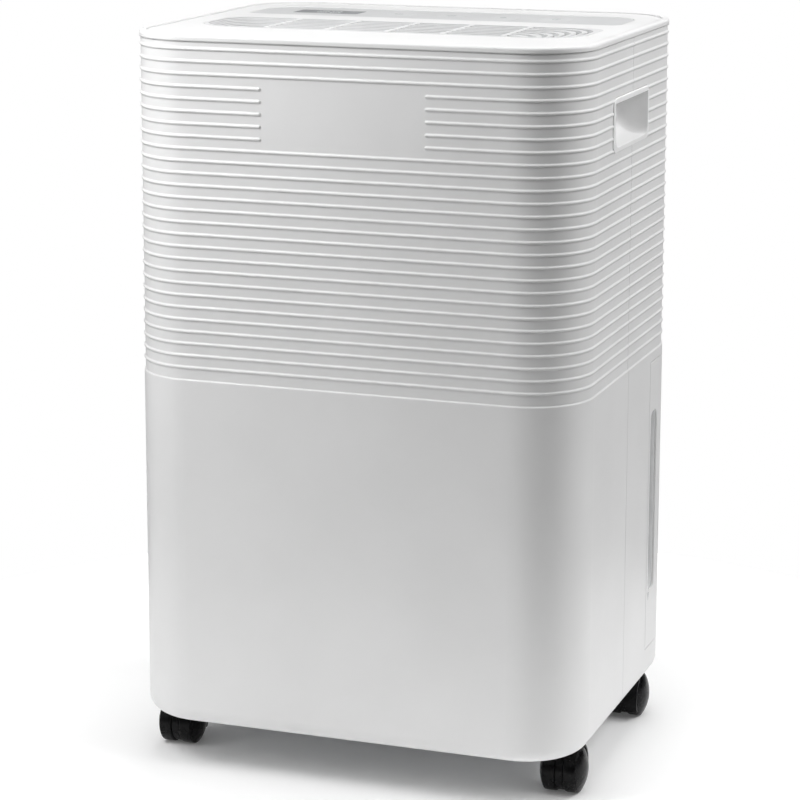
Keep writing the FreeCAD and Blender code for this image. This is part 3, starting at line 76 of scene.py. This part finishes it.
class Surface:
    """A procedural material on one Principled shader, in object coordinates."""

    def __init__(self, name, roughness=0.5):
        self.material = bpy.data.materials.new(name)
        self.material.use_nodes = True
        self.tree = self.material.node_tree
        self.shader = self.tree.nodes["Principled BSDF"]
        self.shader.inputs["Roughness"].default_value = roughness
        self.normal = None
        self.where = self.add("ShaderNodeTexCoord").outputs["Object"]

    def add(self, kind, **settings):
        node = self.tree.nodes.new(kind)
        for key, value in settings.items():
            setattr(node, key, value)
        return node

    def link(self, source, target):
        self.tree.links.new(source, target)

    def set(self, **values):
        """Set the shader's inputs, with underscores for the spaces in their names."""
        for key, value in values.items():
            self.shader.inputs[key.replace("_", " ")].default_value = value
        return self

    def stretched(self, scale):
        """Object coordinates scaled by a vector, for directional textures."""
        mapping = self.add("ShaderNodeMapping")
        mapping.inputs["Scale"].default_value = scale
        self.link(self.where, mapping.inputs["Vector"])
        return mapping.outputs["Vector"]

    def noise(self, size, detail=2.0, vector=None):
        """Noise whose features are about size metres across."""
        node = self.add("ShaderNodeTexNoise")
        node.inputs["Scale"].default_value = 1.0 / size
        node.inputs["Detail"].default_value = detail
        self.link(vector or self.where, node.inputs["Vector"])
        return node.outputs["Fac"]

    def ramp(self, factor, low, high, start=0.35, end=0.65):
        """Two colours spread over part of a factor's range."""
        node = self.add("ShaderNodeValToRGB")
        node.color_ramp.elements[0].position = start
        node.color_ramp.elements[0].color = (*low, 1)
        node.color_ramp.elements[1].position = end
        node.color_ramp.elements[1].color = (*high, 1)
        self.link(factor, node.inputs["Fac"])
        return node.outputs["Color"]

    def spread(self, factor, low, high, start=0.3, end=0.7):
        """A factor's middle range mapped to two numbers."""
        node = self.add("ShaderNodeMapRange")
        node.inputs["From Min"].default_value = start
        node.inputs["From Max"].default_value = end
        node.inputs["To Min"].default_value = low
        node.inputs["To Max"].default_value = high
        self.link(factor, node.inputs["Value"])
        return node.outputs["Result"]

    def mix(self, factor, first, second):
        node = self.add("ShaderNodeMix", data_type="RGBA")
        self.link(factor, node.inputs[0])
        for source, target in ((first, node.inputs[6]), (second, node.inputs[7])):
            if isinstance(source, tuple):
                target.default_value = (*source, 1)
            else:
                self.link(source, target)
        return node.outputs[2]

    def colour(self, source):
        self.link(source, self.shader.inputs["Base Color"])

    def mottle(self, low, high, size):
        """Colour that drifts slowly between two close tones."""
        self.colour(self.ramp(self.noise(size, 3.0), low, high))

    def gloss(self, factor, low, high, start=0.3, end=0.7):
        """Roughness spread between two values by a factor."""
        self.link(self.spread(factor, low, high, start, end), self.shader.inputs["Roughness"])

    def rough(self, low, high, size, detail=3.0):
        """Roughness that changes over size metres."""
        self.gloss(self.noise(size, detail), low, high)

    def bump(self, height, depth):
        """Add relief of depth metres, on top of any relief already there."""
        node = self.add("ShaderNodeBump")
        node.inputs["Strength"].default_value = 1.0
        node.inputs["Distance"].default_value = depth
        self.link(height, node.inputs["Height"])
        if self.normal is not None:
            self.link(self.normal, node.inputs["Normal"])
        self.normal = node.outputs["Normal"]
        self.link(self.normal, self.shader.inputs["Normal"])

    def weave(self, pitch):
        """A factor that is 1 on crossing threads in the XZ plane and 0 between them."""
        split = self.add("ShaderNodeSeparateXYZ")
        self.link(self.where, split.inputs[0])
        threads = []
        for axis in ("X", "Z"):
            turn = self.add("ShaderNodeMath", operation="MULTIPLY")
            turn.inputs[1].default_value = 2 * math.pi / pitch
            self.link(split.outputs[axis], turn.inputs[0])
            wave = self.add("ShaderNodeMath", operation="SINE")
            self.link(turn.outputs[0], wave.inputs[0])
            threads.append(wave.outputs[0])
        either = self.add("ShaderNodeMath", operation="MAXIMUM")
        self.link(threads[0], either.inputs[0])
        self.link(threads[1], either.inputs[1])
        return self.spread(either.outputs[0], 0.0, 1.0, 0.1, 0.8)

    def rounded(self, radius):
        """Shade sharp edges as if they had this radius."""
        bevel = self.add("ShaderNodeBevel", samples=8)
        bevel.inputs["Radius"].default_value = radius
        self.normal = bevel.outputs["Normal"]

    def edges(self, radius):
        """A factor that is 1 on sharp edges and 0 on flats."""
        bevel = self.add("ShaderNodeBevel", samples=4)
        bevel.inputs["Radius"].default_value = radius
        plain = self.add("ShaderNodeNewGeometry")
        dot = self.add("ShaderNodeVectorMath", operation="DOT_PRODUCT")
        self.link(bevel.outputs["Normal"], dot.inputs[0])
        self.link(plain.outputs["Normal"], dot.inputs[1])
        return self.spread(dot.outputs["Value"], 1.0, 0.0, 0.72, 0.995)


def moulded(name, low, high, rough_low, rough_high, grain, depth):
    """Moulded plastic: close tones, spark-eroded grain and a slow change of gloss."""
    surface = Surface(name)
    surface.mottle(low, high, 0.09)
    surface.rough(rough_low, rough_high, 0.035)
    surface.bump(surface.noise(grain, 2.0), depth)
    return surface.set(IOR=1.49)


def white_shell():
    """The casing's white: soft edges painted a tone darker as shade, fine grain and a faint moulding
    ripple.
    """
    surface = Surface("white_shell")
    surface.rounded(0.0016)
    drift = surface.ramp(surface.noise(0.09, 3.0), (0.80, 0.80, 0.80), (0.825, 0.825, 0.825))
    # Painted shade: sharp edges are mixed to a darker grey, to dim the highlights on the rib crests.
    surface.colour(surface.mix(surface.edges(0.0007), drift, (0.77, 0.77, 0.77)))
    surface.rough(0.40, 0.47, 0.035)
    surface.bump(surface.noise(0.0009, 2.0), 0.00001)
    surface.bump(surface.noise(0.05, 1.0), 0.00006)
    return surface.set(IOR=1.49)


def white_trim():
    return moulded("white_trim", (0.80, 0.80, 0.805), (0.83, 0.83, 0.83), 0.34, 0.42, 0.0012, 0.000006)


def fascia():
    """The control strip's satin hard coat."""
    surface = Surface("fascia")
    surface.mottle((0.635, 0.64, 0.645), (0.66, 0.665, 0.67), 0.05)
    surface.rough(0.34, 0.4, 0.03)
    surface.bump(surface.noise(0.03, 1.0), 0.000004)
    return surface.set(IOR=1.45)


def display():
    """The display's tinted window, unlit."""
    surface = Surface("display")
    surface.mottle((0.47, 0.48, 0.49), (0.50, 0.51, 0.52), 0.02)
    surface.rough(0.16, 0.22, 0.02)
    return surface.set(IOR=1.5)


def louvre_white():
    """The louvre's plastic: the shell's white, a tone greyer."""
    return moulded("louvre_white", (0.68, 0.685, 0.69), (0.72, 0.72, 0.725), 0.42, 0.5, 0.0012, 0.000006)


def cup_white_painted_light():
    """The handle cups' plastic: the shell's white painted a tone brighter to lift the shade inside the
    cups, and smoother.
    """
    return moulded("cup_white_painted_light", (0.93, 0.93, 0.93), (0.95, 0.95, 0.95), 0.30, 0.38, 0.0012, 0.000006)


def smoke_window():
    """The level windows' grey plastic, with slow waves in it."""
    surface = Surface("smoke_window")
    surface.mottle((0.56, 0.565, 0.57), (0.61, 0.615, 0.62), 0.03)
    surface.rough(0.15, 0.24, 0.008, 4.0)
    surface.bump(surface.noise(0.012, 2.0), 0.00002)
    return surface.set(IOR=1.5)


def tank_clear():
    """Frosted clear plastic."""
    surface = Surface("tank_clear")
    surface.mottle((0.78, 0.83, 0.86), (0.84, 0.88, 0.9), 0.05)
    surface.rough(0.28, 0.4, 0.02)
    surface.bump(surface.noise(0.0012, 2.0), 0.00001)
    return surface.set(IOR=1.49, Transmission_Weight=0.55)


def float_foam():
    return moulded("float", (0.74, 0.74, 0.70), (0.80, 0.80, 0.77), 0.55, 0.7, 0.0016, 0.00012)


def filter_plastic():
    """Filter cloth: pale threads with dark gaps between them."""
    surface = Surface("filter", 0.6)
    threads = surface.weave(0.0014)
    surface.colour(surface.mix(threads, (0.03, 0.033, 0.037), (0.2, 0.215, 0.23)))
    surface.rough(0.5, 0.65, 0.001)
    surface.bump(threads, 0.0002)
    return surface


def circuit_board():
    """Green board with a grid of tracks."""
    surface = Surface("circuit_board", 0.35)
    tracks = surface.add("ShaderNodeTexBrick")
    tracks.inputs["Scale"].default_value = 90.0
    tracks.inputs["Mortar Size"].default_value = 0.03
    tracks.inputs["Color1"].default_value = (0.02, 0.16, 0.07, 1)
    tracks.inputs["Color2"].default_value = (0.03, 0.2, 0.09, 1)
    tracks.inputs["Mortar"].default_value = (0.05, 0.3, 0.14, 1)
    surface.link(surface.where, tracks.inputs["Vector"])
    surface.colour(tracks.outputs["Color"])
    surface.rough(0.25, 0.4, 0.004)
    return surface


def black_plastic():
    return moulded("black_plastic", (0.018, 0.018, 0.019), (0.03, 0.03, 0.032), 0.45, 0.6, 0.0009, 0.00002)


def caster_black():
    """Polished nylon with a painted highlight: paler round the edges; a fine grain."""
    surface = Surface("caster_black")
    body = surface.ramp(surface.noise(0.01, 4.0), (0.003, 0.003, 0.0033), (0.006, 0.006, 0.0064))
    # Painted highlight: sharp edges are mixed to a paler black.
    surface.colour(surface.mix(surface.edges(0.0009), body, (0.013, 0.013, 0.014)))
    surface.rough(0.24, 0.31, 0.006, 5.0)
    surface.bump(surface.noise(0.0012, 2.0), 0.000004)
    return surface.set(IOR=1.52, Specular_IOR_Level=0.12)


def grey_plastic():
    return moulded("grey_plastic", (0.42, 0.43, 0.44), (0.47, 0.48, 0.49), 0.42, 0.55, 0.001, 0.00002)


def zinc_sheet():
    """Zinc-coated sheet with its crystal spangle."""
    surface = Surface("zinc_sheet")
    spangle = surface.add("ShaderNodeTexVoronoi")
    spangle.inputs["Scale"].default_value = 110.0
    surface.link(surface.where, spangle.inputs["Vector"])
    tone = surface.add("ShaderNodeSeparateColor")
    surface.link(spangle.outputs["Color"], tone.inputs["Color"])
    surface.colour(surface.ramp(tone.outputs["Red"], (0.48, 0.49, 0.5), (0.66, 0.67, 0.68), 0.0, 1.0))
    surface.gloss(tone.outputs["Green"], 0.3, 0.5, 0.0, 1.0)
    return surface.set(Metallic=1.0)


def compressor_black():
    """Black paint on a pressed can."""
    surface = Surface("compressor_black")
    surface.mottle((0.012, 0.012, 0.013), (0.028, 0.028, 0.03), 0.03)
    surface.rough(0.22, 0.4, 0.01, 4.0)
    surface.bump(surface.noise(0.0025, 3.0), 0.00008)
    return surface


def brushed(name, low, high, scale):
    """Drawn or brushed metal: streaks along the directions that scale leaves long."""
    surface = Surface(name)
    streaks = surface.noise(0.001, 3.0, surface.stretched(scale))
    surface.colour(surface.ramp(streaks, low, high))
    surface.gloss(streaks, 0.22, 0.38)
    surface.bump(streaks, 0.00001)
    return surface.set(Metallic=1.0)


def rubber():
    return moulded("rubber", (0.02, 0.02, 0.02), (0.035, 0.035, 0.034), 0.65, 0.85, 0.0012, 0.00003)


def copper():
    """Copper with dull and bright patches."""
    surface = Surface("copper")
    tarnish = surface.noise(0.012, 5.0)
    surface.colour(surface.ramp(tarnish, (0.42, 0.19, 0.11), (0.72, 0.38, 0.25), 0.3, 0.6))
    surface.rough(0.18, 0.4, 0.006, 4.0)
    return surface.set(Metallic=1.0)


MATERIALS = {
    "white_shell": white_shell(),
    "white_trim": white_trim(),
    "fascia": fascia(),
    "display": display(),
    "smoke_window": smoke_window(),
    "tank_clear": tank_clear(),
    "float": float_foam(),
    "filter": filter_plastic(),
    "circuit_board": circuit_board(),
    "black_plastic": black_plastic(),
    "caster_black": caster_black(),
    "grey_plastic": grey_plastic(),
    "zinc_sheet": zinc_sheet(),
    "compressor_black": compressor_black(),
    "motor_steel": brushed("motor_steel", (0.45, 0.45, 0.46), (0.6, 0.6, 0.61), (1, 0.06, 1)),
    "rubber": rubber(),
    "steel": brushed("steel", (0.5, 0.5, 0.51), (0.66, 0.66, 0.67), (0.05, 1, 1)),
    "coil_aluminium": brushed("coil_aluminium", (0.62, 0.62, 0.63), (0.78, 0.78, 0.79), (1, 1, 0.02)),
    "copper": copper(),
}


def dress_frame():
    """Give every CAD node the procedural material of its slot, or its own where it has one."""
    # Painted light: the handle cups get a brighter copy of the shell's white.
    cups = cup_white_painted_light()
    own_looks = {"outlet_grille": louvre_white(), "handle_right": cups, "handle_left": cups}
    for part in frame["record"]["subparts"]:
        node = part["node"]
        surface = own_looks.get(node, MATERIALS[part["material_slot"]])
        materials = NODES[node].data.materials
        materials.clear()
        materials.append(surface.material)


dress_frame()


# ---------------------------------------------------------------- printed and fitted details

def upright(u, v, w):
    """A prism's outline in plan, raised along Z."""
    return u, v, w


def sideways(u, v, w):
    """A prism's outline in the YZ plane, raised along X."""
    return w, u, v


def prism(name, outlines, low, high, slot, body, turn=upright):
    """Closed prisms over flat outlines, as one piece that rides on a body."""
    mesh = bpy.data.meshes.new(name)
    work = bmesh.new()
    for outline in outlines:
        under = [work.verts.new(turn(x, y, low)) for x, y in outline]
        over = [work.verts.new(turn(x, y, high)) for x, y in outline]
        work.faces.new(over)
        work.faces.new(list(reversed(under)))
        for index in range(len(outline)):
            after = (index + 1) % len(outline)
            work.faces.new((under[index], under[after], over[after], over[index]))
    bmesh.ops.recalc_face_normals(work, faces=work.faces)
    work.to_mesh(mesh)
    work.free()
    piece = bpy.data.objects.new(name, mesh)
    bpy.context.scene.collection.objects.link(piece)
    mesh.materials.append(MATERIALS[slot].material)
    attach(piece, body)


def printed(name, outlines, surface_z, body):
    """Print flat outlines on a level surface of a body."""
    prism(name, outlines, surface_z - PRINT_SINK, surface_z + PRINT_HEIGHT, "grey_plastic", body)


def middle(low, high):
    """Middle of a box in plan."""
    return (low[0] + high[0]) / 2, (low[1] + high[1]) / 2


def arc_band(x, y, inner, outer, start, end, steps=28):
    """Outline of part of a ring; angles in degrees."""
    angles = [math.radians(start + (end - start) * step / steps) for step in range(steps + 1)]
    rim = [(x + outer * math.cos(angle), y + outer * math.sin(angle)) for angle in angles]
    hole = [(x + inner * math.cos(angle), y + inner * math.sin(angle)) for angle in reversed(angles)]
    return rim + hole


def bar(x, y, half_x, half_y):
    """Outline of an upright rectangle about its centre."""
    return [(x + side_x * half_x, y + side_y * half_y)
            for side_x, side_y in ((-1, -1), (1, -1), (1, 1), (-1, 1))]


def power_sign(x, y):
    """A ring open at the top, with a stroke through the gap."""
    return [arc_band(x, y, SIGN_INNER, SIGN_OUTER, 120, 420), bar(x, y + 2.8 * MM, 0.35 * MM, 1.6 * MM)]


def mode_sign(x, y):
    """Two arcs that chase each other."""
    signs = [arc_band(x, y, SIGN_INNER, SIGN_OUTER, turn + 20, turn + 160) for turn in (0, 180)]
    tip_reach = (SIGN_INNER + SIGN_OUTER) / 2
    tip_size = 1.3 * MM
    for turn in (20, 200):
        angle = math.radians(turn)
        tip_x = x + tip_reach * math.cos(angle)
        tip_y = y + tip_reach * math.sin(angle)
        signs.append([(tip_x + tip_size * math.cos(angle + third),
                       tip_y + tip_size * math.sin(angle + third)) for third in (0, 2.094, 4.189)])
    return signs


def drop_sign(x, y):
    """Outline of a water drop."""
    radius = 2.9 * MM
    round_end = [(x + radius * math.cos(angle), y - 0.9 * MM + radius * math.sin(angle))
                 for angle in (math.radians(150 + 240 * step / 24) for step in range(25))]
    return [round_end + [(x, y + 4.2 * MM)]]


def clock_sign(x, y):
    """A dial with two hands."""
    return [arc_band(x, y, 3.1 * MM, 3.8 * MM, 0, 357), bar(x, y + 1.0 * MM, 0.3 * MM, 1.3 * MM),
            bar(x + 0.8 * MM, y - 0.4 * MM, 1.1 * MM, 0.3 * MM)]


def key_signs():
    """Generic pictograms printed on the four keys."""
    signs = {"key_power": power_sign, "key_mode": mode_sign,
             "key_humidity": drop_sign, "key_timer": clock_sign}
    for key, sign in signs.items():
        low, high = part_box(key)
        printed("sign_" + key, sign(*middle(low, high)), high[2], key)


def display_digits():
    """Two unlit seven-segment digits on the display window."""
    low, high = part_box("display_window")
    middle_x, middle_y = middle(low, high)
    segment = 6.5 * MM
    outlines = []
    for side in (-1, 1):
        x = middle_x + side * 6 * MM
        for level in (-1, 0, 1):
            outlines.append(bar(x, middle_y + level * segment, 2.9 * MM, STROKE_HALF))
        for level in (-1, 1):
            for edge in (-1, 1):
                outlines.append(bar(x + edge * 3.9 * MM, middle_y + level * segment / 2,
                                    STROKE_HALF, 2.3 * MM))
    printed("display_digits", outlines, high[2], "housing")


def louvre_bars():
    """Bright cross bars laid flush over the outlet louvre."""
    low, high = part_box("outlet_grille")
    inset = 4.5 * MM
    middle_y = middle(low, high)[1]
    half_y = (high[1] - low[1]) / 2 - inset
    outlines = [bar(x * MM, middle_y, 1.8 * MM, half_y) for x in LOUVRE_BAR_XS]
    prism("louvre_bars", outlines, high[2] - 0.5 * MM, high[2] + 0.1 * MM, "white_trim", "housing")


def painted_notch_shades():
    """A flat grey triangle under the front edge of each level window: painted shade standing for a small
    notch.
    """
    low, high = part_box("level_windows")
    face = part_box("tank_cover")[1][0]
    front = low[1] + 1.0 * MM
    foot = low[2] - 1.0 * MM
    outline = [(front, foot), (front + 3.2 * MM, foot), (front + 0.9 * MM, foot - 7.0 * MM)]
    inner = face - 0.3 * MM
    outer = face + 0.05 * MM
    for side, near, far in (("right", inner, outer), ("left", -outer, -inner)):
        # Painted shade: a thin grey sheet on the face where the notch's shade falls.
        prism("painted_notch_shade_" + side, [outline], near, far, "grey_plastic", "tank", sideways)


key_signs()
display_digits()
louvre_bars()
painted_notch_shades()


# ---------------------------------------------------------------- studio

def stage_floor():
    """Plain pale floor disc that fades into the white background."""
    mesh = bpy.data.meshes.new("floor")
    disc = bmesh.new()
    bmesh.ops.create_circle(disc, cap_ends=True, segments=96, radius=FLOOR_RADIUS)
    disc.to_mesh(mesh)
    disc.free()
    floor = bpy.data.objects.new("floor", mesh)
    bpy.context.scene.collection.objects.link(floor)
    surface = Surface("pale_floor", 0.9)
    surface.mottle((0.925, 0.925, 0.925), (0.94, 0.94, 0.94), 0.4)
    surface.set(Specular_IOR_Level=0.1, Emission_Color=(1, 1, 1, 1))
    reach = surface.add("ShaderNodeVectorMath", operation="LENGTH")
    surface.link(surface.where, reach.inputs[0])
    glow = surface.spread(reach.outputs["Value"], FLOOR_GLOW, RIM_GLOW, 0.3 * FLOOR_RADIUS, FLOOR_RADIUS)
    surface.link(glow, surface.shader.inputs["Emission Strength"])
    mesh.materials.append(surface.material)


def softbox(name, place, aim, width, height, watts, spread=180.0):
    """Rectangular area light at place, facing aim."""
    data = bpy.data.lights.new(name, "AREA")
    data.shape = "RECTANGLE"
    data.size = width
    data.size_y = height
    data.energy = watts
    data.spread = math.radians(spread)
    light = bpy.data.objects.new(name, data)
    bpy.context.scene.collection.objects.link(light)
    light.location = place
    light.rotation_mode = "QUATERNION"
    light.rotation_quaternion = (Vector(aim) - Vector(place)).to_track_quat("-Z", "Y")


def lights():
    """Two at the front left, one in front, two on the right, one above and one behind."""
    softbox("key", (-0.95, -0.85, 0.75), (0, 0, 0.40), 0.5, 1.1, KEY_WATTS)
    softbox("corner", (-0.45, -0.55, 1.05), (-0.1, -0.15, 0.50), 0.4, 0.4, CORNER_WATTS)
    softbox("front", (-0.2, -1.9, 2.0), (0, 0, 0.35), 1.6, 0.9, FRONT_WATTS)
    softbox("high_side", (1.2, 0.5, 1.3), (0.15, 0, 0.40), 0.8, 0.8, HIGH_SIDE_WATTS)
    softbox("near_side", (1.2, -0.25, 1.15), (0.15, 0, 0.58), 0.5, 1.0, NEAR_SIDE_WATTS)
    softbox("top", (0.0, 0.0, 2.4), (0, 0, 0), 1.6, 1.6, TOP_WATTS, 60.0)
    softbox("back", (0.0, 1.6, 1.9), (0, 0, 0.50), 1.6, 0.8, BACK_WATTS)


def backdrop():
    """A white surround that the camera sees and that lights nothing."""
    world = bpy.data.worlds.new("studio")
    world.use_nodes = True
    tree = world.node_tree
    light = tree.nodes["Background"]
    light.inputs["Color"].default_value = (1, 1, 1, 1)
    light.inputs["Strength"].default_value = 0.0
    white = tree.nodes.new("ShaderNodeBackground")
    white.inputs["Color"].default_value = (1, 1, 1, 1)
    seen = tree.nodes.new("ShaderNodeLightPath")
    either = tree.nodes.new("ShaderNodeMixShader")
    tree.links.new(seen.outputs["Is Camera Ray"], either.inputs[0])
    tree.links.new(light.outputs[0], either.inputs[1])
    tree.links.new(white.outputs[0], either.inputs[2])
    tree.links.new(either.outputs[0], tree.nodes["World Output"].inputs["Surface"])
    scene = bpy.context.scene
    scene.world = world
    scene.view_settings.view_transform = "Standard"


def camera():
    """Camera at the product view: above, and to the right of the front."""
    data = bpy.data.cameras.new("camera")
    data.sensor_width = 36.0
    data.lens = CAMERA_LENS
    data.shift_y = -0.1
    data.clip_end = 50.0
    eye = bpy.data.objects.new("camera", data)
    bpy.context.scene.collection.objects.link(eye)
    eye.location = CAMERA_PLACE
    level = math.cos(CAMERA_ELEVATION)
    ahead = Vector((-math.sin(CAMERA_AZIMUTH) * level, math.cos(CAMERA_AZIMUTH) * level,
                    -math.sin(CAMERA_ELEVATION)))
    turn = ahead.to_track_quat("-Z", "Y").to_matrix() @ Matrix.Rotation(CAMERA_ROLL, 3, "Z")
    eye.rotation_mode = "QUATERNION"
    eye.rotation_quaternion = turn.to_quaternion()
    bpy.context.scene.camera = eye


stage_floor()
lights()
backdrop()
camera()
